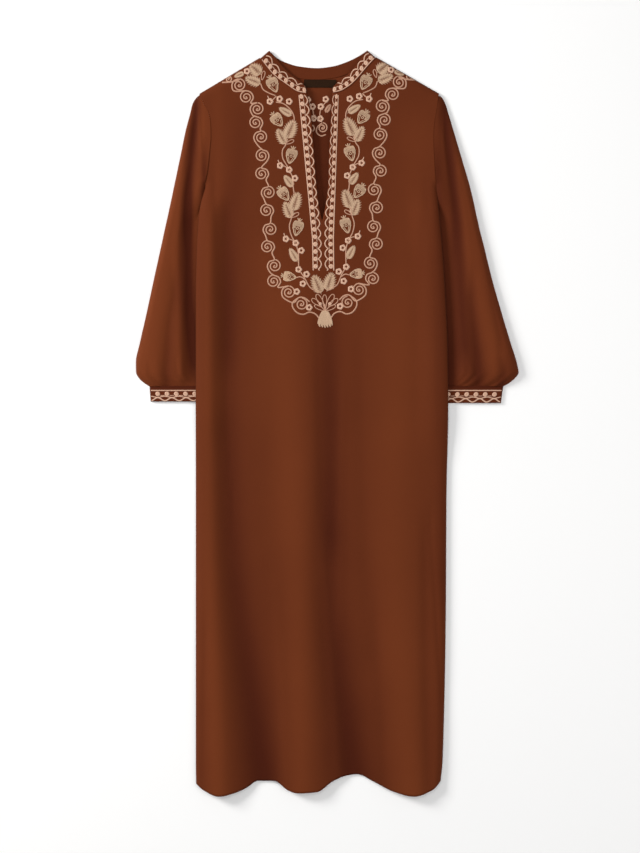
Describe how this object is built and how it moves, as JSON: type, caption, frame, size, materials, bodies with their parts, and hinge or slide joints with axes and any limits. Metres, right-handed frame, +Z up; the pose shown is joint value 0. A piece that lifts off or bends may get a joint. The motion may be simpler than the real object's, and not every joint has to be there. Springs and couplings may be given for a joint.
{
  "type": "kaftan laid flat",
  "caption": "Ankle-length kaftan with a stand collar, a front neck slit and gathered, cuffed sleeves, laid flat with its front up.",
  "frame": {"origin": "on the surface that the garment lies on, under the middle of its outline", "axes": "+X to the right in the front view, +Y from the hem to the neck, +Z up from the surface through the front of the garment"},
  "size_m": [0.727, 1.4146, 0.0185],
  "materials": {
    "twill": "soft brown viscose twill with a low sheen",
    "embroidered_band": "the same twill, doubled, with beige chain and dot stitching",
    "thread": "matte beige embroidery thread",
    "rose_thread": "matte rose beige embroidery thread",
    "label_ribbon": "plain dark woven ribbon"
  },
  "bodies": {
    "root": {"front_panel": "twill", "back_panel": "twill", "sleeve_left": "twill", "sleeve_right": "twill", "cuff_left": "embroidered_band", "cuff_right": "embroidered_band", "collar": "embroidered_band", "neck_label": "label_ribbon"}
  },
  "joints": []
}
